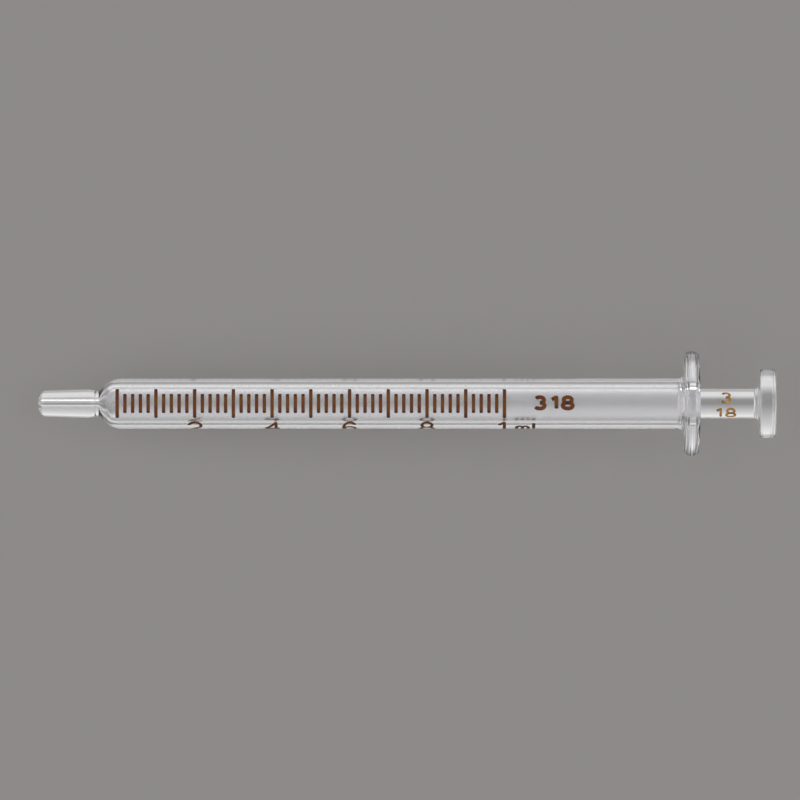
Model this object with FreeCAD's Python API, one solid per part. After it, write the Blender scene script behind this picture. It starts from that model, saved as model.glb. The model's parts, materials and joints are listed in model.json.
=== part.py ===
import FreeCAD, Part
import math
import os

# Glass tuberculin syringe, 1 mL, with a plain slip tip. A barrel and a solid plunger are ground to each
# other, and a scale of enamel lines is fired onto the barrel. All sizes are in millimetres.
# Both glass pieces are turned forms. They are drawn along X, with the end of the tip at x = 0, and at the
# end they are laid down as the syringe comes to rest on a table.

# Measuring tube: the bore follows from what the scale has to hold
capacity = 1000.0
scale_length = 60.0
barrel_wall = 1.57
past_scale_length = 30.3

# Slip tip, a six percent male cone with a fire-polished end
tip_end_diameter = 3.98
tip_taper = 0.06
tip_length = 8.1
tip_nose_length = 0.7
tip_nose_depth = 1.15
nozzle_bore_diameter = 1.0
nozzle_mouth_bevel = 0.08

# Neck between the tip and the rounded shoulder
neck_diameter = 4.2
neck_step_length = 0.6
neck_length = 1.3
neck_rounding = 0.4

# Slopes, in degrees from the axis, of the shoulder outside and of the dome that closes the bore inside it
shoulder_slope = 60.0
dome_slope = 70.0
throat_rounding = 0.7

# Finger flange at the back of the barrel
flange_diameter = 16.27
flange_thickness = 2.55
flange_flare_radius = 0.9
flange_rim_depth = 0.9
bore_mouth_bevel = 0.25

# Plunger: one rod with a thumb button, and its fit in the barrel
plunger_clearance = 0.02
plunger_home_gap = 0.22
plunger_tip_chamfer = 0.15
stem_showing = 9.25
button_diameter = 10.7
button_thickness = 2.6
button_edge_radius = 0.45
button_stem_fillet = 0.9

# Enamel scale on the barrel
divisions = 50
divisions_per_long_line = 5
line_width = 0.48
enamel_thickness = 0.04
long_line_half_angle = 35.0
short_line_half_angle = 22.4

# The turned faces close on themselves along a line this many degrees above the side
closing_angle = 15.0

# Radii that follow from the sizes above
bore_radius = math.sqrt(capacity / (math.pi * scale_length))
barrel_radius = bore_radius + barrel_wall
plunger_radius = bore_radius - plunger_clearance
tip_end_radius = tip_end_diameter / 2
nozzle_radius = nozzle_bore_diameter / 2
neck_radius = neck_diameter / 2
flange_radius = flange_diameter / 2
button_radius = button_diameter / 2


def tip_radius(x):
    """Radius of the slip tip's cone at x: half the taper is gained on each side."""
    return tip_end_radius + x * tip_taper / 2


def slope_roundings(height, slope, first_rounding):
    """Lengths along the axis of a slope of this height, and of the large rounding at its top.

    The slope starts in a small rounding. The large one takes up the rest of the slope, so that the two
    meet, and its radius follows from that. Returns the slope's length, the rounding's reach and radius.
    """
    half_turn = math.tan(math.radians(slope) / 2)
    surface = height / math.sin(math.radians(slope))
    reach = surface - first_rounding * half_turn
    return height / math.tan(math.radians(slope)), reach, reach / half_turn


# Stations along the axis, from the tip's end to the button's face
neck_x = tip_length + neck_step_length
slope_x = neck_x + neck_length
shoulder_run, shoulder_reach, shoulder_radius = slope_roundings(
    barrel_radius - neck_radius, shoulder_slope, neck_rounding)
shoulder_corner_x = slope_x + shoulder_run
tube_x = shoulder_corner_x + shoulder_reach
dome_run, dome_reach, dome_radius = slope_roundings(
    bore_radius - nozzle_radius, dome_slope, throat_rounding)
dome_corner_x = slope_x + dome_run
zero_line_x = dome_corner_x + dome_reach + plunger_home_gap
full_line_x = zero_line_x + scale_length
flange_back_x = full_line_x + past_scale_length
flange_front_x = flange_back_x - flange_thickness
button_front_x = flange_back_x + stem_showing
button_back_x = button_front_x + button_thickness

# Middle of the rim's half ellipse: its place along the axis and its height from it
rim_x = (flange_front_x + flange_back_x) / 2
rim_height = flange_radius - flange_rim_depth

origin = FreeCAD.Vector(0, 0, 0)
axis = FreeCAD.Vector(1, 0, 0)
across = FreeCAD.Vector(0, 1, 0)
shortest_edge = 1e-6
tilt_rounds = 8


def at(x, radius):
    """A point of the half section, which is drawn to one side of the axis where the turned faces close."""
    angle = math.radians(closing_angle)
    return FreeCAD.Vector(x, radius * math.cos(angle), radius * math.sin(angle))


def unit(vector):
    """The vector at length one."""
    return vector / vector.Length


def rounded_corner(corner, before, after, rounding):
    """Start, end and curve of a corner's rounding. Before and after are unit vectors along its two sides.

    A number is the radius of an arc that touches both sides. A pair gives how far the rounding reaches
    along each side. Weighted with the sine of half the corner's angle, the curve that the corner pulls
    is a true arc where both reaches are the same, and otherwise a part of an ellipse.
    """
    half_angle = before.getAngle(after) / 2
    if isinstance(rounding, tuple):
        reach_before, reach_after = rounding
    else:
        reach_before = rounding / math.tan(half_angle)
        reach_after = reach_before
    start = corner + before * reach_before
    end = corner + after * reach_after
    curve = Part.BezierCurve()
    curve.setPoles([start, corner, end])
    curve.setWeight(2, math.sin(half_angle))
    return start, end, curve


def half_round(front_x, back_x, radius, depth):
    """The curve of a fire-polished rim, from its front over its edge to its back.

    It is half an ellipse, as deep as given and as wide as the rim is thick: a cubic on the corners of a
    box of twice the depth, its two middle corners weighted with a third.
    """
    foot = radius - depth
    top = radius + depth
    curve = Part.BezierCurve()
    curve.setPoles([at(front_x, foot), at(front_x, top), at(back_x, top), at(back_x, foot)])
    curve.setWeight(2, 1 / 3)
    curve.setWeight(3, 1 / 3)
    return curve


def turned(outline):
    """Solid of revolution of a closed outline of corners and curves, joined by straight edges.

    A corner has its x, its radius and its rounding. Where two roundings meet, no straight stretch is left.
    """
    firsts = []
    lasts = []
    for item in outline:
        is_corner = isinstance(item, tuple)
        firsts.append(at(item[0], item[1]) if is_corner else item.StartPoint)
        lasts.append(at(item[0], item[1]) if is_corner else item.EndPoint)
    starts = []
    ends = []
    edges = []
    for index, item in enumerate(outline):
        start = firsts[index]
        end = lasts[index]
        if not isinstance(item, tuple):
            edges.append(item.toShape())
        elif item[2]:
            before = unit(lasts[index - 1] - start)
            after = unit(firsts[(index + 1) % len(outline)] - start)
            start, end, curve = rounded_corner(start, before, after, item[2])
            edges.append(curve.toShape())
        starts.append(start)
        ends.append(end)
    for end, start in zip(ends, starts[1:] + starts[:1]):
        if (start - end).Length > shortest_edge:
            edges.append(Part.LineSegment(end, start).toShape())
    outline_wire = Part.Wire(Part.sortEdges(edges)[0])
    return Part.Face(outline_wire).revolve(origin, axis, 360)


def make_barrel():
    """Tip, neck, shoulder, tube and flange of one piece of glass, with its nozzle, dome and bore."""
    outside = [
        (0, nozzle_radius + nozzle_mouth_bevel, 0),
        (0, tip_end_radius, (tip_nose_depth, tip_nose_length)),
        (tip_length, tip_radius(tip_length), neck_rounding),
        (neck_x, neck_radius, neck_rounding),
        (slope_x, neck_radius, neck_rounding),
        (shoulder_corner_x, barrel_radius, shoulder_radius),
        (flange_front_x, barrel_radius, flange_flare_radius),
        half_round(flange_front_x, flange_back_x, flange_radius, flange_rim_depth),
    ]
    inside = [
        (flange_back_x, bore_radius + bore_mouth_bevel, 0),
        (flange_back_x - bore_mouth_bevel, bore_radius, 0),
        (dome_corner_x, bore_radius, dome_radius),
        (slope_x, nozzle_radius, throat_rounding),
        (nozzle_mouth_bevel, nozzle_radius, 0),
    ]
    return turned(outside + inside)


def make_plunger():
    """Solid rod from the zero line to the thumb button, which is fused on and blended to it."""
    return turned([
        (zero_line_x, 0, 0),
        (zero_line_x, plunger_radius - plunger_tip_chamfer, 0),
        (zero_line_x + plunger_tip_chamfer, plunger_radius, 0),
        (button_front_x, plunger_radius, button_stem_fillet),
        (button_front_x, button_radius, button_edge_radius),
        (button_back_x, button_radius, button_edge_radius),
        (button_back_x, 0, 0),
    ])


def glass_radius(x):
    """Outside radius of the barrel at x, from the shoulder's arc to the tube."""
    before_tube = max(tube_x - x, 0)
    return barrel_radius - shoulder_radius + math.sqrt(shoulder_radius ** 2 - before_tube ** 2)


def enamel_line(x, half_angle, glass):
    """One line of the scale: a band bent round the top of the barrel, its underside cut by the glass."""
    left = x - line_width / 2
    right = x + line_width / 2
    inside_glass = barrel_radius - barrel_wall / 2
    corners = [
        at(left, inside_glass),
        at(left, glass_radius(left) + enamel_thickness),
        at(right, glass_radius(right) + enamel_thickness),
        at(right, inside_glass),
    ]
    section = Part.Face(Part.makePolygon(corners + corners[:1]))
    section.rotate(origin, axis, 90 - half_angle - closing_angle)
    band = section.revolve(origin, axis, 2 * half_angle)
    return band.cut(glass).Solids[0]


def make_graduation_lines(glass):
    """The whole scale, from the zero line at the shoulder to the full line, long at every tenth of it."""
    lines = []
    for mark in range(divisions + 1):
        x = zero_line_x + mark * scale_length / divisions
        is_long = mark % divisions_per_long_line == 0
        half_angle = long_line_half_angle if is_long else short_line_half_angle
        lines.append(enamel_line(x, half_angle, glass))
    return Part.makeCompound(lines)


def rim_reach(tilt):
    """How far the rim's half ellipse reaches below its middle when the part is tilted, in radians."""
    return math.hypot(flange_thickness / 2 * math.sin(tilt), flange_rim_depth * math.cos(tilt))


def rest_tilt():
    """Angle in radians between the axis and the table when shoulder and flange rim both touch it.

    The shoulder touches with its circle, and the rim with its half ellipse. How far the rim reaches
    depends on the tilt, so the tilt is worked out again and again, and settles at once.
    """
    along = rim_x - tube_x
    lift = rim_height - (barrel_radius - shoulder_radius)
    tilt = 0
    for _ in range(tilt_rounds):
        bulge = rim_reach(tilt) - shoulder_radius
        tilt = math.atan2(lift, along) + math.asin(bulge / math.hypot(along, lift))
    return tilt


def laid_down(shapes):
    """The pieces turned to their rest tilt, standing on z = 0 with the box's middle over the origin."""
    tilt = rest_tilt()
    degrees = math.degrees(tilt)
    axis_height = rim_height * math.cos(tilt) + rim_reach(tilt) - rim_x * math.sin(tilt)
    together = Part.makeCompound(shapes)
    together.rotate(origin, across, -degrees)
    box = together.optimalBoundingBox(False, False)
    middle = (box.XMin + box.XMax) / 2
    placed = []
    for shape in shapes:
        moved = shape.copy()
        moved.rotate(origin, across, -degrees)
        moved.translate(FreeCAD.Vector(-middle, 0, axis_height))
        placed.append(moved)
    print(f"rest tilt {degrees:.4f} degrees, axis over the tip's end at x {-middle:.4f} z {axis_height:.4f}")
    return placed


os.makedirs("parts", exist_ok=True)
barrel = make_barrel()
plunger = make_plunger()
graduation_lines = make_graduation_lines(barrel)

names = ["barrel", "plunger", "graduation_lines"]
for name, shape in zip(names, laid_down([barrel, plunger, graduation_lines])):
    shape.exportStep(f"parts/{name}.step")
    box = shape.optimalBoundingBox(False, False)
    print(f"{name}: {len(shape.Solids)} solids, valid {shape.isValid()}, {shape.Volume:.3f} mm3, "
          f"x {box.XMin:.3f} to {box.XMax:.3f}, z {box.ZMin:.3f} to {box.ZMax:.3f}")
print(f"stations: tube {tube_x:.3f}, zero {zero_line_x:.3f}, full {full_line_x:.3f}, "
      f"flange {flange_front_x:.3f} to {flange_back_x:.3f}, button {button_front_x:.3f} to {button_back_x:.3f}")
print(f"radii: bore {bore_radius:.4f}, barrel {barrel_radius:.4f}, plunger {plunger_radius:.4f}")
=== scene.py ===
import json
import math

import bpy
import numpy as np
from mathutils import Matrix, Vector


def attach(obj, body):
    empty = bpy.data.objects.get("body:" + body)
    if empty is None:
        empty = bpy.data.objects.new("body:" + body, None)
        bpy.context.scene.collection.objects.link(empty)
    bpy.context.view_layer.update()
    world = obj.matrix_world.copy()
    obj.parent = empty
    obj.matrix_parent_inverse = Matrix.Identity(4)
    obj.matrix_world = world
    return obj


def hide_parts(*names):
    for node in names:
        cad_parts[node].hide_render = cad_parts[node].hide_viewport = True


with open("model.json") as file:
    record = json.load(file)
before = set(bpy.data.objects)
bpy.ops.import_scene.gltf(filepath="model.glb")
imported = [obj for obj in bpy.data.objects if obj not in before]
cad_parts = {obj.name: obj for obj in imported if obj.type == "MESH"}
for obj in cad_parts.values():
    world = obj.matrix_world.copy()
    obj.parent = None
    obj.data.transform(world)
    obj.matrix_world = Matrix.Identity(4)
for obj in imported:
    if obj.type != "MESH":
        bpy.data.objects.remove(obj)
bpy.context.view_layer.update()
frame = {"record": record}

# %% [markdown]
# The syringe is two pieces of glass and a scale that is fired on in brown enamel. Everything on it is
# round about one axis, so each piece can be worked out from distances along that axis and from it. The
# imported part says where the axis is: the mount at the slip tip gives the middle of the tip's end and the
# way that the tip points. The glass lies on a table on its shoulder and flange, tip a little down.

mm = 0.001
tip_mount = next(mount for mount in frame["record"]["mounts"] if mount["name"] == "slip_tip")
tip_end = np.array(tip_mount["pos_m"])
along = -np.array(tip_mount["axis"])
aside = np.array([0.0, 1.0, 0.0])
upward = np.cross(along, aside)


def place(x, radius, turn):
    """Points of the part frame, in metres, from x along the axis, radius from it, both in millimetres,
    and turn round it in radians: tip end + x along + radius (cos turn upward - sin turn aside)."""
    x, radius, turn = (np.asarray(value, float)[..., None] for value in (x, radius, turn))
    return tip_end + mm * (x * along + radius * (np.cos(turn) * upward - np.sin(turn) * aside))


print("axis tilt in degrees:", round(math.degrees(math.asin(along[2])), 3))

# %% [markdown]
# Drawn and fire-polished glass has no sharp corner: each change of direction is a small round. An outline
# is therefore a list of corners with a rounding each. One weighted curve serves them all: pulled towards
# the corner with the sine of half its angle as the weight, it is an exact arc. Rings just beside each
# rounding keep the shading of the straight stretch flat, so that reflections run straight along the tube.

# %% Outlines with rounded corners
ARC_STEPS = 12
RING_BESIDE = 0.05


def rounded(corner, before, after, rounding):
    """The points of one corner. before and after are the neighbouring corners. A number is an arc's
    radius, a pair is how far the curve reaches along each side. The curve is the weighted mean
    ((1-t)^2 start + 2t(1-t) w corner + t^2 end) / ((1-t)^2 + 2t(1-t) w + t^2)."""
    corner, before, after = (np.array(point, float) for point in (corner, before, after))
    back = (before - corner) / np.linalg.norm(before - corner)
    on = (after - corner) / np.linalg.norm(after - corner)
    half = math.acos(np.clip(back @ on, -1, 1)) / 2
    reach = rounding if isinstance(rounding, tuple) else (rounding / math.tan(half),) * 2
    t = np.linspace(0, 1, ARC_STEPS + 1)[:, None]
    a, b, c = (1 - t) ** 2, 2 * t * (1 - t) * math.sin(half), t**2
    return (a * (corner + reach[0] * back) + b * corner + c * (corner + reach[1] * on)) / (a + b + c)


def outline(corners, closed):
    """The outline's points from corners (x, radius, rounding), rounding 0 for a plain point, with
    points added on each longer straight stretch just beside its two ends."""
    places = [corner[:2] for corner in corners]
    parts = []
    for number, (x, radius, rounding) in enumerate(corners):
        after = places[(number + 1) % len(places)]
        parts.append(rounded((x, radius), places[number - 1], after, rounding) if rounding
                     else np.array([[x, radius]], float))
    points = np.concatenate(parts)
    ends = np.roll(points, -1, axis=0) if closed else points[1:]
    starts = points if closed else points[:-1]
    run = np.linalg.norm(ends - starts, axis=1)
    share = np.where(run > 4 * RING_BESIDE, RING_BESIDE / run, np.nan)[:, None]
    beside = np.stack([starts, starts + share * (ends - starts), ends - share * (ends - starts)], 1)
    rows = beside.reshape(-1, 2)
    rows = rows if closed else np.concatenate([rows, points[-1:]])
    return rows[~np.isnan(rows[:, 0])]


# %% [markdown]
# A lathe turns an outline into a surface: the same profile stands at every angle round the axis, so the
# surface is a function of two parameters, the place on the outline and the turn. The barrel's outline is
# a closed loop that never meets the axis, like a ring. The plunger's starts and ends on the axis, and
# there a single point closes the surface in place of a ring of points that fall together.

# %% A lathe
SEGMENTS = 192


def make_mesh(name, points, faces, smooth=True):
    """A mesh object at the origin from an array of points and a list of faces."""
    mesh = bpy.data.meshes.new(name)
    mesh.from_pydata(points.tolist(), [], faces)
    mesh.polygons.foreach_set("use_smooth", np.full(len(mesh.polygons), smooth))
    mesh.update()
    piece = bpy.data.objects.new(name, mesh)
    bpy.context.scene.collection.objects.link(piece)
    return piece


def grid_faces(rows, columns, rows_close):
    """Four-sided faces between neighbouring rows of a grid whose columns close round."""
    row = np.arange(rows if rows_close else rows - 1)[:, None]
    column = np.arange(columns)[None, :]
    beyond, beside = (row + 1) % rows, (column + 1) % columns
    corners = [row * columns + column, row * columns + beside,
               beyond * columns + beside, beyond * columns + column]
    return np.stack(np.broadcast_arrays(*corners), -1).reshape(-1, 4)


def capped(rings, first, last):
    """Points and faces of a tube of rings (rows, columns, 3) that a point closes at either end."""
    rows, columns = rings.shape[:2]
    points = np.concatenate([rings.reshape(-1, 3), first[None], last[None]])
    column = np.arange(columns)
    beside = (column + 1) % columns
    start = np.stack([np.full(columns, rows * columns), beside, column], -1)
    end_row = (rows - 1) * columns
    end = np.stack([np.full(columns, rows * columns + 1), end_row + column, end_row + beside], -1)
    return points, grid_faces(rows, columns, False).tolist() + start.tolist() + end.tolist()


def volume_mm3(piece):
    """Six times the volume is the sum, over triangles, of corner . (corner x corner). Positive means
    that the faces point outwards."""
    mesh = piece.data
    mesh.calc_loop_triangles()
    index = np.zeros(len(mesh.loop_triangles) * 3, int)
    mesh.loop_triangles.foreach_get("vertices", index)
    points = np.zeros(len(mesh.vertices) * 3)
    mesh.vertices.foreach_get("co", points)
    a, b, c = points.reshape(-1, 3)[index].reshape(-1, 3, 3).swapaxes(0, 1)
    return float(np.einsum("ij,ij->", a, np.cross(b, c)) / 6 / mm**3)


def turned(name, profile, closed):
    """The piece that a profile (x, radius) draws when it goes round the axis: place(x, radius, turn)."""
    turn = np.linspace(0, 2 * np.pi, SEGMENTS, endpoint=False)[None, :]
    if closed:
        points = place(profile[:, :1], profile[:, 1:], turn)
        return make_mesh(name, points.reshape(-1, 3), grid_faces(len(profile), SEGMENTS, True).tolist())
    inner = profile[1:-1]
    rings = place(inner[:, :1], inner[:, 1:], turn)
    return make_mesh(name, *capped(rings, place(profile[0, 0], 0, 0), place(profile[-1, 0], 0, 0)))


def set_value(piece, name, profile_values):
    """A value at each point of a turned piece, the same all round each ring of the profile."""
    values = np.zeros(len(piece.data.vertices), np.float32)
    ring_values = np.repeat(profile_values, SEGMENTS)
    values[:len(ring_values)] = ring_values
    piece.data.attributes.new(name, "FLOAT", "POINT").data.foreach_set("value", values)


def step_up(x, start, end):
    """0 before start, 1 after end, and a smooth rise between them."""
    t = np.clip((x - start) / (end - start), 0, 1)
    return t * t * (3 - 2 * t)


# %% [markdown]
# The barrel is one length of heavy tube. At one end the glass is drawn down to a narrow neck and worked
# into a slip tip, a cone that a needle's hub is pushed on. At the other end it is spread into a round
# flange with a fat, fire-polished rim. Turning one closed outline makes the outside, the bore and both
# mouths at once, and the wall has its real thickness, which is what bends the light at the edges.

# %% The barrel's sizes in millimetres
bore_radius = 2.3033
barrel_radius = 3.8733
nozzle_radius = 0.5
nozzle_mouth_radius = 0.58
nozzle_mouth_rounding = 0.03
tip_end_radius = 1.99
tip_nose_reach = (1.36, 1.05)
tip_foot_radius = 2.233
tip_length = 8.1
neck_radius = 1.95
neck_rounding = 0.4
neck_x = 8.9
slope_x = 9.5
shoulder_corner_x = 11.29
shoulder_rounding = 3.57
tube_x = 12.8405
funnel_x = 9.8
funnel_corner_x = 11.5
funnel_rounding = 1.4
throat_rounding = 1.2
flange_front_x = 100.055
flange_back_x = 102.605
flange_radius = 8.135
flange_rim_depth = 0.9
flange_flare_radius = 0.9
bore_mouth_bevel = 0.25
bore_mouth_rounding = 0.08
bore_ground_from = 12.2
bore_ground_to = 99.9
fade = 0.4

# %% [markdown]
# The corners go once round the wall: out along the tip and tube, over the rim, back down the bore. Two
# plain points at either end of the ground length keep it apart from the bright glass.

# %% The barrel
rim_x = (flange_front_x + flange_back_x) / 2
rim_half = (flange_back_x - flange_front_x) / 2
rim_turn = np.linspace(-math.pi / 2, math.pi / 2, 33)
rim = np.stack([rim_x + rim_half * np.sin(rim_turn),
                flange_radius - flange_rim_depth * (1 - np.cos(rim_turn))], 1)
barrel_corners = [
    (0, nozzle_mouth_radius, nozzle_mouth_rounding),
    (0, tip_end_radius, tip_nose_reach),
    (tip_length, tip_foot_radius, neck_rounding),
    (neck_x, neck_radius, neck_rounding),
    (slope_x, neck_radius, neck_rounding),
    (shoulder_corner_x, barrel_radius, shoulder_rounding),
    (flange_front_x, barrel_radius, flange_flare_radius),
    *[(x, radius, 0) for x, radius in rim],
    (flange_back_x, bore_radius + bore_mouth_bevel, bore_mouth_rounding),
    (flange_back_x - bore_mouth_bevel, bore_radius, bore_mouth_rounding),
    (bore_ground_to, bore_radius, 0),
    (bore_ground_to - fade, bore_radius, 0),
    (bore_ground_from + fade, bore_radius, 0),
    (bore_ground_from, bore_radius, 0),
    (funnel_corner_x, bore_radius, funnel_rounding),
    (funnel_x, nozzle_radius, throat_rounding),
    (nozzle_mouth_radius - nozzle_radius, nozzle_radius, nozzle_mouth_rounding),
]
barrel_profile = outline(barrel_corners, closed=True)
barrel = turned("barrel_glass_tube", barrel_profile, closed=True)
print("barrel:", len(barrel.data.polygons), "faces,", round(volume_mm3(barrel), 1), "mm3")

# %% [markdown]
# The plunger is a solid rod, ground to slide in the bore without a seal, with a flat button pressed on
# its end while the glass was hot. The rod passes into the button in a small hollow round.

# %% The plunger
plunger_radius = 2.2833
plunger_end_x = 12.305
plunger_end_bevel = 0.15
plunger_end_rounding = 0.06
button_front_x = 111.855
button_back_x = 114.455
button_radius = 5.35
button_edge = 0.45
button_stem_fillet = 0.9
rod_ground_to = 102.4
plunger_corners = [
    (plunger_end_x, 0, 0),
    (plunger_end_x, plunger_radius - plunger_end_bevel, plunger_end_rounding),
    (plunger_end_x + plunger_end_bevel, plunger_radius, plunger_end_rounding),
    (rod_ground_to - fade, plunger_radius, 0),
    (rod_ground_to, plunger_radius, 0),
    (button_front_x, plunger_radius, button_stem_fillet),
    (button_front_x, button_radius, button_edge),
    (button_back_x, button_radius, button_edge),
    (button_back_x, 0, 0),
]
plunger_profile = outline(plunger_corners, closed=False)
plunger = turned("plunger_glass_rod", plunger_profile, closed=False)
print("plunger:", len(plunger.data.polygons), "faces,", round(volume_mm3(plunger), 1), "mm3")

# %% [markdown]
# The bore wall and the rod are ground with fine abrasive until they fit, which leaves them matt, and the
# slip tip is ground lightly so that a hub grips it. The outside, the flange, the end of the rod that never
# enters the bore and the button stay bright. Both finishes meet on one piece of glass, so a value at each
# point says how ground it is, and one material serves the whole piece.

# %% Where the glass is ground
tip_groundness = 0.45
x, radius = barrel_profile.T
inside = radius < bore_radius + 0.01
bore_ground = inside * step_up(x, bore_ground_from, bore_ground_from + fade) * (
    1 - step_up(x, bore_ground_to - fade, bore_ground_to))
tip_ground = (radius > tip_end_radius - 0.4) * (x < tip_length) * step_up(x, 0.3, 1.0) * tip_groundness
set_value(barrel, "ground", np.maximum(bore_ground, tip_ground))
set_value(barrel, "station", x)
set_value(barrel, "striped", step_up(radius, flange_radius - 1.2, flange_radius - 0.6))
x, radius = plunger_profile[1:-1].T
rod_ground = (1 - step_up(x, rod_ground_to - fade, rod_ground_to)) * (x > plunger_end_x + 0.05)
set_value(plunger, "ground", rod_ground)
set_value(plunger, "station", x)
set_value(plunger, "striped", (radius > button_radius - 0.1) * 1.0)

# %% [markdown]
# The scale is fired enamel: each stroke stands a few hundredths of a millimetre proud, with soft edges and
# rounded ends. A stroke could be a flat strip wrapped on with a modifier, but here it is a flattened
# sausage worked out directly: a path is drawn on the barrel's surface unrolled flat, a low oval goes along
# it, and the result is rolled up again onto the glass. Lines, arcs and numerals all come from it.

# %% One enamel stroke
enamel_height = 0.04
enamel_foot = 0.012
stroke_end = 0.16
pool_length = 0.55
STROKE_SIDES = 14


def glass_radius(x):
    """Outside radius of the barrel at x: the tube, or the shoulder's arc before it."""
    before = np.clip(tube_x - np.asarray(x, float), 0, None)
    return barrel_radius - shoulder_rounding + np.sqrt(shoulder_rounding**2 - before**2)


def rod_radius(x):
    """Radius of the plunger's rod, the same all along."""
    return np.full(np.shape(x), plunger_radius)


def stroke(path, width, surface, roll):
    """Points and faces of one enamel stroke along a path of points (x, over) on the unrolled surface.
    At distance d from a stroke's end its half width is w (1 - (1 - d/e)^3)^(1/3). Round the stroke the
    section is across = half width sign(cos) |cos|^0.7, height = rise sign(sin) |sin|^0.7."""
    step = np.linalg.norm(np.diff(path, axis=0), axis=1)
    distance = np.concatenate([[0], np.cumsum(step)])
    ends = np.array([0.02, 0.1, 0.25, 0.5, 0.75]) * stroke_end
    wanted = np.concatenate([ends, np.linspace(stroke_end, distance[-1] - stroke_end,
                             max(int((distance[-1] - 2 * stroke_end) / 0.09), 2)), distance[-1] - ends[::-1]])
    points = np.stack([np.interp(wanted, distance, path[:, axis]) for axis in (0, 1)], 1)
    heading = np.gradient(points, axis=0)
    heading /= np.linalg.norm(heading, axis=1)[:, None]
    across = heading[:, ::-1] * [1, -1]
    near_end = np.clip(np.minimum(wanted, distance[-1] - wanted) / stroke_end, 0, 1)
    full = (1 - (1 - near_end) ** 3) ** (1 / 3)
    angle = np.linspace(0, 2 * np.pi, STROKE_SIDES, endpoint=False)
    side = np.sign(np.cos(angle)) * np.abs(np.cos(angle)) ** 0.7
    rise = np.sign(np.sin(angle)) * np.abs(np.sin(angle)) ** 0.7
    flat = points[:, None] + (width / 2 * full[:, None] * side)[..., None] * across[:, None]
    height = rise * np.where(rise > 0, enamel_height, enamel_foot) * full[:, None]
    rings = rolled(flat[..., 0], flat[..., 1], height, surface, roll)
    tips = [rolled(*point, 0.0, surface, roll) for point in (path[0], path[-1])]
    pooled = 1 - step_up(np.minimum(wanted, distance[-1] - wanted), 0.1, pool_length)
    return *capped(rings, *tips), np.append(np.repeat(pooled, STROKE_SIDES), [1, 1])


def rolled(x, over, height, surface, roll):
    """A point of the unrolled surface, rolled up: radius surface(x) + height, turn roll + over / radius."""
    radius = surface(x)
    return place(x, radius + height, roll + over / radius)


def enamel_piece(name, strokes, width, surface, roll):
    """All the strokes of one print as one piece."""
    points, faces, pools, count = [], [], [], 0
    for path in strokes:
        stroke_points, stroke_faces, pooled = stroke(np.asarray(path, float), width, surface, roll)
        points.append(stroke_points)
        pools.append(pooled)
        faces += [[corner + count for corner in face] for face in stroke_faces]
        count += len(stroke_points)
    piece = make_mesh(name, np.concatenate(points), faces)
    values = np.concatenate(pools).astype(np.float32)
    piece.data.attributes.new("pooled", "FLOAT", "POINT").data.foreach_set("value", values)
    return piece


# %% [markdown]
# Fifty divisions run along 60 mm of bore, each two hundredths of a millilitre, and every fifth line is a
# longer one, which marks a tenth. All lines are centred on the top of the barrel.

# %% The lines of the scale
scale_length = 60.0
divisions = 50
long_every = 5
line_width = 0.54
long_half_angle = 35.0
short_half_angle = 22.4


def scale_lines():
    """Paths of all the lines: across the barrel at each division's place, over an arc of radius angle."""
    for mark in range(divisions + 1):
        x = plunger_end_x + mark * scale_length / divisions
        half_angle = short_half_angle if mark % long_every else long_half_angle
        half = math.radians(half_angle) * barrel_radius
        over = np.linspace(-half, half, 40)
        yield np.stack([np.full(40, x), over], 1)


lines = enamel_piece("enamel_scale_lines", scale_lines(), line_width, glass_radius, 0.0)
print("scale lines:", len(lines.data.polygons), "faces,", round(volume_mm3(lines), 3), "mm3")

# %% [markdown]
# The numerals are drawn with the same strokes, the way a stencil cutter would: each one is a few lines and
# parts of ovals in a box one unit high. They stand beside the long lines, so far round the barrel that
# from above only their upper parts show at the edge. Figures here are plain numbers.

# %% A small set of figures
def oval(middle_x, middle_y, half_width, half_height, start, end):
    """Part of an oval from angle start to end in degrees: middle + (half width cos, half height sin)."""
    angle = np.radians(np.linspace(start, end, 28))
    return np.stack([middle_x + half_width * np.cos(angle), middle_y + half_height * np.sin(angle)], 1)


def straight(*points):
    """Straight lines from point to point, filled with points between."""
    corners = np.array(points, float)
    parts = [np.linspace(a, b, 12, endpoint=False) for a, b in zip(corners[:-1], corners[1:])]
    return np.concatenate(parts + [corners[-1:]])


def joined(*parts):
    """Several parts of one stroke, one after another."""
    return np.concatenate(parts)


FIGURES = {
    "1": [straight((0.12, 0.78), (0.42, 1.0), (0.42, 0.0))],
    "2": [joined(oval(0.36, 0.7, 0.32, 0.3, 165, -25), straight((0.62, 0.52), (0.04, 0.0), (0.72, 0.0)))],
    "3": [oval(0.34, 0.75, 0.27, 0.25, 155, -90), oval(0.34, 0.26, 0.31, 0.26, 90, -155)],
    "4": [straight((0.56, 0.0), (0.56, 1.0), (0.02, 0.3), (0.76, 0.3))],
    "6": [joined(oval(0.38, 0.55, 0.32, 0.45, 35, 180), oval(0.36, 0.29, 0.3, 0.29, 180, 530))],
    "8": [oval(0.36, 0.75, 0.26, 0.25, -90, 270), oval(0.36, 0.26, 0.32, 0.26, 90, 450)],
    "m": [straight((0.04, 0.0), (0.04, 0.6)), joined(oval(0.19, 0.42, 0.15, 0.18, 170, 0),
          straight((0.34, 0.4), (0.34, 0.0))), joined(oval(0.49, 0.42, 0.15, 0.18, 170, 0),
          straight((0.64, 0.4), (0.64, 0.0)))],
    "l": [straight((0.04, 1.0), (0.04, 0.0))],
}
FIGURE_STEP = {"1": 0.78, "m": 0.88, "l": 0.4}


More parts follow.
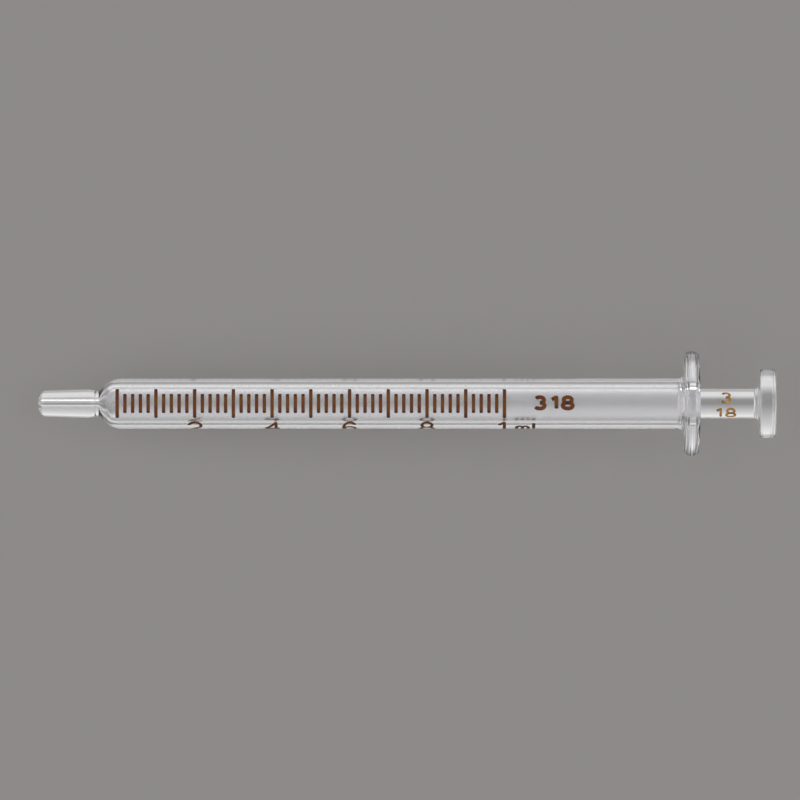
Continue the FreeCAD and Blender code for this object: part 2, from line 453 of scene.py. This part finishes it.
def written(text, left_x, top_turn, height, breadth=1.0):
    """Strokes of a text on the unrolled barrel, read from the tip towards the button, its feet turned
    away from the top line: x = left + x height breadth, over = turn of the text's top + (1 - y) height."""
    strokes, cursor = [], left_x
    for sign in text:
        for path in FIGURES.get(sign, []):
            strokes.append(np.stack([cursor + path[:, 0] * height * breadth,
                                     top_turn + (1 - path[:, 1]) * height], 1))
        cursor += FIGURE_STEP.get(sign, 0.98) * height * breadth
    return strokes


# %% [markdown]
# Each numeral stands at its long line, and the unit is smaller. A barrel is printed in one roll over a
# screen, so numerals and lines belong to the same surface.

# %% The numerals beside the scale
numeral_height = 3.0
numeral_width = 0.72 * numeral_height
numeral_stroke = 0.5
numeral_top_turn = math.radians(49.5) * barrel_radius
unit_height = 2.3
unit_breadth = 1.3
unit_top_turn = math.radians(52) * barrel_radius
numeral_strokes = []
for figure, mark in (("2", 10), ("4", 20), ("6", 30), ("8", 40)):
    middle = plunger_end_x + mark * scale_length / divisions
    numeral_strokes += written(figure, middle - numeral_width / 2, numeral_top_turn, numeral_height)
one_x = plunger_end_x + scale_length - 0.42 * numeral_height
numeral_strokes += written("1", one_x, numeral_top_turn, numeral_height)
numeral_strokes += written("ml", one_x + 3.05, unit_top_turn, unit_height, unit_breadth)
numerals = enamel_piece("enamel_numerals", numeral_strokes, numeral_stroke, glass_radius, 0.0)
print("numerals:", len(numeral_strokes), "strokes,", len(numerals.data.polygons), "faces")

# %% [markdown]
# Barrel and plunger are ground to fit each other, so both of a pair are given the same number, and one is
# never used with the other's partner. A plain number stands on the tube and again on the rod, where it has
# fired to a thinner layer. There its light gold-brown is partly that thinner enamel and partly painted light,
# standing in for the light that shines through the thin enamel from behind.

# %% The numbers of the matched pair
figure_breadth = 1.35
pair_height = 1.8
pair_stroke = 0.62
pair_left_x = 76.95
pair_top = -pair_height / 2 - 0.1
pair_strokes = written("318", pair_left_x, pair_top, pair_height, figure_breadth)
pair_number = enamel_piece("enamel_barrel_number", pair_strokes, pair_stroke, glass_radius, 0.0)
rod_height = 1.6
rod_stroke = 0.4
rod_strokes = written("3", 105.9, -1.75, rod_height, figure_breadth)
rod_strokes += written("18", 104.95, 0.85, rod_height, figure_breadth)
rod_number = enamel_piece("enamel_plunger_number", rod_strokes, rod_stroke, rod_radius, 0.0)
print("numbers:", len(pair_number.data.polygons), "and", len(rod_number.data.polygons), "faces")

# %% [markdown]
# Glass is almost all refraction, so its look is its index and its roughness. The index of 1.49 is that of
# the neutral glass used for medical ware. Roughness comes from the value at each point, polished 0 to
# ground, and a fine grain like that of the abrasive keeps the matt parts from looking like plastic.

# %% Glass
glass_passes = 0.96
glass_tint = (0.99, 0.983, 0.995)
ground_roughness = 0.24


def new_material(name):
    """An empty material with a principled shader, its node tree and that shader."""
    material = bpy.data.materials.new(name)
    material.use_nodes = True
    return material, material.node_tree, material.node_tree.nodes["Principled BSDF"]


def glass(name, tint, ground_roughness):
    """Clear glass of a tint, whose roughness rises from 0 to ground_roughness with the value 'ground'.
    Light on its way to the table goes straight through, only weakened, so the shadow stays thin."""
    material, tree, shader = new_material(name)
    seen = tree.nodes.new("ShaderNodeLightPath")
    passing = tree.nodes.new("ShaderNodeBsdfTransparent")
    passing.inputs["Color"].default_value = (*(glass_passes,) * 3, 1)
    either = tree.nodes.new("ShaderNodeMixShader")
    tree.links.new(seen.outputs["Is Shadow Ray"], either.inputs["Fac"])
    tree.links.new(shader.outputs["BSDF"], either.inputs[1])
    tree.links.new(passing.outputs["BSDF"], either.inputs[2])
    tree.links.new(either.outputs["Shader"], tree.nodes["Material Output"].inputs["Surface"])
    shader.inputs["Base Color"].default_value = (*tint, 1)
    shader.inputs["IOR"].default_value = 1.49
    ground = tree.nodes.new("ShaderNodeAttribute")
    ground.attribute_name = "ground"
    roughness = tree.nodes.new("ShaderNodeMapRange")
    roughness.inputs["To Max"].default_value = ground_roughness
    tree.links.new(ground.outputs["Fac"], roughness.inputs["Value"])
    shader.inputs["Transmission Weight"].default_value = 1.0
    place_on = tree.nodes.new("ShaderNodeTexCoord")
    grain = tree.nodes.new("ShaderNodeTexNoise")
    grain.inputs["Scale"].default_value = 6000
    grain.inputs["Detail"].default_value = 2
    tree.links.new(place_on.outputs["Object"], grain.inputs["Vector"])
    bump = tree.nodes.new("ShaderNodeBump")
    bump.inputs["Distance"].default_value = 0.00001
    tree.links.new(ground.outputs["Fac"], bump.inputs["Strength"])
    tree.links.new(grain.outputs["Fac"], bump.inputs["Height"])
    station = tree.nodes.new("ShaderNodeAttribute")
    station.attribute_name = "station"
    striped = tree.nodes.new("ShaderNodeAttribute")
    striped.attribute_name = "striped"
    stripes = tree.nodes.new("ShaderNodeTexNoise")
    stripes.noise_dimensions = "1D"
    stripes.inputs["Scale"].default_value = 5.0
    stripes.inputs["Detail"].default_value = 1
    tree.links.new(station.outputs["Fac"], stripes.inputs["W"])
    groove = tree.nodes.new("ShaderNodeBump")
    groove.inputs["Distance"].default_value = 0.00003
    tree.links.new(striped.outputs["Fac"], groove.inputs["Strength"])
    tree.links.new(stripes.outputs["Fac"], groove.inputs["Height"])
    tree.links.new(groove.outputs["Normal"], bump.inputs["Normal"])
    tree.links.new(bump.outputs["Normal"], shader.inputs["Normal"])
    tree.links.new(roughness.outputs["Result"], shader.inputs["Roughness"])
    return material


barrel.data.materials.append(glass("barrel_clear_glass", glass_tint, ground_roughness))
plunger.data.materials.append(glass("plunger_clear_glass", glass_tint, ground_roughness))

# %% [markdown]
# Enamel is coloured glass with metal oxides, so it is dark brown, slightly uneven, and a little shiny.

# %% Enamel
def enamel(name, one, other, pool):
    """Fired enamel between two browns that a soft noise mixes, and darker where it has pooled."""
    material, tree, shader = new_material(name)
    place_on = tree.nodes.new("ShaderNodeTexCoord")
    cloud = tree.nodes.new("ShaderNodeTexNoise")
    cloud.inputs["Scale"].default_value = 700
    cloud.inputs["Detail"].default_value = 3
    shades = tree.nodes.new("ShaderNodeValToRGB")
    shades.color_ramp.elements[0].position = 0.35
    shades.color_ramp.elements[0].color = (*one, 1)
    shades.color_ramp.elements[1].position = 0.65
    shades.color_ramp.elements[1].color = (*other, 1)
    tree.links.new(place_on.outputs["Object"], cloud.inputs["Vector"])
    tree.links.new(cloud.outputs["Fac"], shades.inputs["Fac"])
    pooled = tree.nodes.new("ShaderNodeAttribute")
    pooled.attribute_name = "pooled"
    darker = tree.nodes.new("ShaderNodeMix")
    darker.data_type = "RGBA"
    darker.inputs[7].default_value = (*pool, 1)
    tree.links.new(pooled.outputs["Fac"], darker.inputs["Factor"])
    tree.links.new(shades.outputs["Color"], darker.inputs[6])
    tree.links.new(darker.outputs[2], shader.inputs["Base Color"])
    shader.inputs["Roughness"].default_value = 0.45
    shader.inputs["Specular IOR Level"].default_value = 0.1
    return material


brown = enamel("brown_enamel", (0.095, 0.026, 0.011), (0.115, 0.046, 0.010), (0.032, 0.018, 0.012))
# The rod's number: its colours are lighter partly for the thinner enamel and partly as painted backlight, the
# light shining through it from behind.
gold_with_painted_backlight = enamel("gold_enamel_with_painted_backlight", (0.40, 0.22, 0.07), (0.20, 0.10, 0.03), (0.16, 0.08, 0.02))
for print_piece in (lines, numerals, pair_number):
    print_piece.data.materials.append(brown)
rod_number.data.materials.append(gold_with_painted_backlight)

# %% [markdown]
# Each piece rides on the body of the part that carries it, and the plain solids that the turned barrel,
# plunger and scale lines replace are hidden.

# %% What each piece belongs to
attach(barrel, "barrel")
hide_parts("barrel")
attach(plunger, "plunger")
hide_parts("plunger")
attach(lines, "barrel")
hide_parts("graduation_lines")
for print_piece, body in ((numerals, "barrel"), (pair_number, "barrel"), (rod_number, "plunger")):
    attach(print_piece, body)

# %% [markdown]
# The syringe lies on a plain grey table, much larger than the picture. The table catches the thin shadow.
# Rays that the glass has bent go through it, so that what they meet can be set in the room below.

# %% The table
table_grey = (0.235, 0.227, 0.2195)
table_mesh = bpy.data.meshes.new("table")
table_half = 3.0
table_mesh.from_pydata([(-table_half, -table_half, 0), (table_half, -table_half, 0),
                        (table_half, table_half, 0), (-table_half, table_half, 0)], [], [(0, 1, 2, 3)])
table = bpy.data.objects.new("table", table_mesh)
bpy.context.scene.collection.objects.link(table)
table_material, table_tree, table_shader = new_material("grey_table")
table_shader.inputs["Base Color"].default_value = (*table_grey, 1)
table_shader.inputs["Roughness"].default_value = 0.9
table_shader.inputs["Specular IOR Level"].default_value = 0.0
table_seen = table_tree.nodes.new("ShaderNodeLightPath")
table_open = table_tree.nodes.new("ShaderNodeBsdfTransparent")
table_either = table_tree.nodes.new("ShaderNodeMixShader")
table_tree.links.new(table_seen.outputs["Is Transmission Ray"], table_either.inputs["Fac"])
table_tree.links.new(table_shader.outputs["BSDF"], table_either.inputs[1])
table_tree.links.new(table_open.outputs["BSDF"], table_either.inputs[2])
table_tree.links.new(table_either.outputs["Shader"], table_tree.nodes["Material Output"].inputs["Surface"])
table_mesh.materials.append(table_material)

# %% [markdown]
# Clear glass shows what stands round it, so a studio sets grey and white cards beside such a piece, and the
# look is made by where they begin and end. A round bar gathers the room from side to side into bands along
# its length, and its ends and edges gather what lies beyond tip and button. So the room has two sets of
# cards: one round the syringe from side to side, and one for the directions near its two ends.

# %% The room
world = bpy.data.worlds.new("room")
bpy.context.scene.world = world
world.use_nodes = True
room = world.node_tree
room_light = room.nodes["Background"]
direction = room.nodes.new("ShaderNodeTexCoord")
parts = room.nodes.new("ShaderNodeSeparateXYZ")
down = room.nodes.new("ShaderNodeMath")
down.operation = "MULTIPLY"
down.inputs[1].default_value = -1
angle = room.nodes.new("ShaderNodeMath")
angle.operation = "ARCTAN2"
share = room.nodes.new("ShaderNodeMapRange")
share.inputs["From Min"].default_value = -math.pi
share.inputs["From Max"].default_value = math.pi
room.links.new(direction.outputs["Generated"], parts.inputs["Vector"])
room.links.new(parts.outputs["Z"], down.inputs[0])
room.links.new(parts.outputs["Y"], angle.inputs[0])
room.links.new(down.outputs["Value"], angle.inputs[1])
room.links.new(angle.outputs["Value"], share.inputs["Value"])
# Each card: its name, where it begins and ends in degrees from straight down, and its brightness there.
# Plus is the far side of the table. Between two cards the brightness runs evenly from one to the other.
CARDS_BESIDE = (
    ("room behind the camera, near half", -180, -168, 0.6, 0.7),
    ("soft window over the near side", -160, -122, 1.0, 1.1),
    ("dim band at the near horizon", -112, -78, 0.5, 0.5),
    ("grey card on the near side", -72, -45, 0.4, 0.4),
    ("pale card low on the near side", -38, -22, 0.7, 0.72),
    ("table in the syringe's own shade", -10, 0, 0.235, 0.235),
    ("pale card rising on the far side", 10, 50, 0.36, 0.92),
    ("grey card on the far side", 58, 74, 0.55, 0.5),
    ("bright strip at the far horizon", 78, 90, 2.2, 2.2),
    ("dim wall over the far side", 96, 140, 0.3, 0.4),
    ("soft window over the far side", 150, 160, 1.0, 1.0),
    ("room behind the camera, far half", 168, 180, 0.7, 0.6))
CARDS_AT_ENDS = (
    ("window over both ends", -180, -130, 1.6, 1.4),
    ("grey wall on the near side", -120, -95, 0.5, 0.4),
    ("dark card low on the near side", -85, -50, 0.2, 0.2),
    ("grey floor beyond the ends", -40, 88, 0.4, 0.3),
    ("grey wall on the far side", 95, 125, 0.6, 0.8),
    ("window over both ends", 135, 180, 2.0, 1.9))


def tones(cards):
    """A ramp of grey round the syringe, in which each card fills its own angles."""
    ramp = room.nodes.new("ShaderNodeValToRGB")
    ramp.color_ramp.elements.remove(ramp.color_ramp.elements[1])
    stops = [stop for card, begin, end, first, last in cards for stop in ((begin, first), (end, last))]
    for number, (degrees, brightness) in enumerate(stops):
        turn = (degrees + 180) / 360
        stop = ramp.color_ramp.elements.new(turn) if number else ramp.color_ramp.elements[0]
        stop.position = turn
        stop.color = (brightness, brightness, brightness, 1)
    room.links.new(share.outputs["Result"], ramp.inputs["Fac"])
    return ramp


across, lengthwise = tones(CARDS_BESIDE), tones(CARDS_AT_ENDS)
size = room.nodes.new("ShaderNodeMath")
size.operation = "ABSOLUTE"
ends_begin, ends_full = 0.3, 0.5
far = room.nodes.new("ShaderNodeMapRange")
far.inputs["From Min"].default_value = ends_begin
far.inputs["From Max"].default_value = ends_full
blend = room.nodes.new("ShaderNodeMix")
blend.data_type = "RGBA"
room.links.new(parts.outputs["X"], size.inputs[0])
room.links.new(size.outputs["Value"], far.inputs["Value"])
room.links.new(far.outputs["Result"], blend.inputs["Factor"])
room.links.new(across.outputs["Color"], blend.inputs[6])
room.links.new(lengthwise.outputs["Color"], blend.inputs[7])
room.links.new(blend.outputs[2], room_light.inputs["Color"])
room_light.inputs["Strength"].default_value = 1.0
backdrop = room.nodes.new("ShaderNodeBackground")
backdrop.inputs["Color"].default_value = (*table_grey, 1)
seen = room.nodes.new("ShaderNodeLightPath")
either = room.nodes.new("ShaderNodeMixShader")
room.links.new(seen.outputs["Is Camera Ray"], either.inputs["Fac"])
room.links.new(room_light.outputs["Background"], either.inputs[1])
room.links.new(backdrop.outputs["Background"], either.inputs[2])
room.links.new(either.outputs["Shader"], room.nodes["World Output"].inputs["Surface"])
bpy.context.scene.view_settings.view_transform = "Standard"
bpy.context.scene.cycles.max_bounces = 24
bpy.context.scene.cycles.transmission_bounces = 24

# %% [markdown]
# The camera looks straight down on the barrel, square to its axis, from 2 m, with the tip to the
# left. The picture is 800 points wide, and one point is 0.155 mm at the syringe.

# %% The camera
picture_points = 800
point_size = 0.1552
camera_distance = 2000.0
picture_middle_x = 56.12
picture_middle_aside = 0.54
camera_data = bpy.data.cameras.new("camera")
camera_data.sensor_width = 36.0
camera_data.lens = camera_data.sensor_width * camera_distance / (picture_points * point_size)
camera = bpy.data.objects.new("camera", camera_data)
bpy.context.scene.collection.objects.link(camera)
bpy.context.scene.camera = camera
eye = tip_end + mm * (picture_middle_x * along + camera_distance * upward + picture_middle_aside * aside)
turned_axes = Matrix((along, aside, upward)).transposed().to_4x4()
camera.matrix_world = Matrix.Translation(Vector(eye)) @ turned_axes
print("camera at", [round(value, 4) for value in eye], "lens", round(camera_data.lens, 1), "mm")
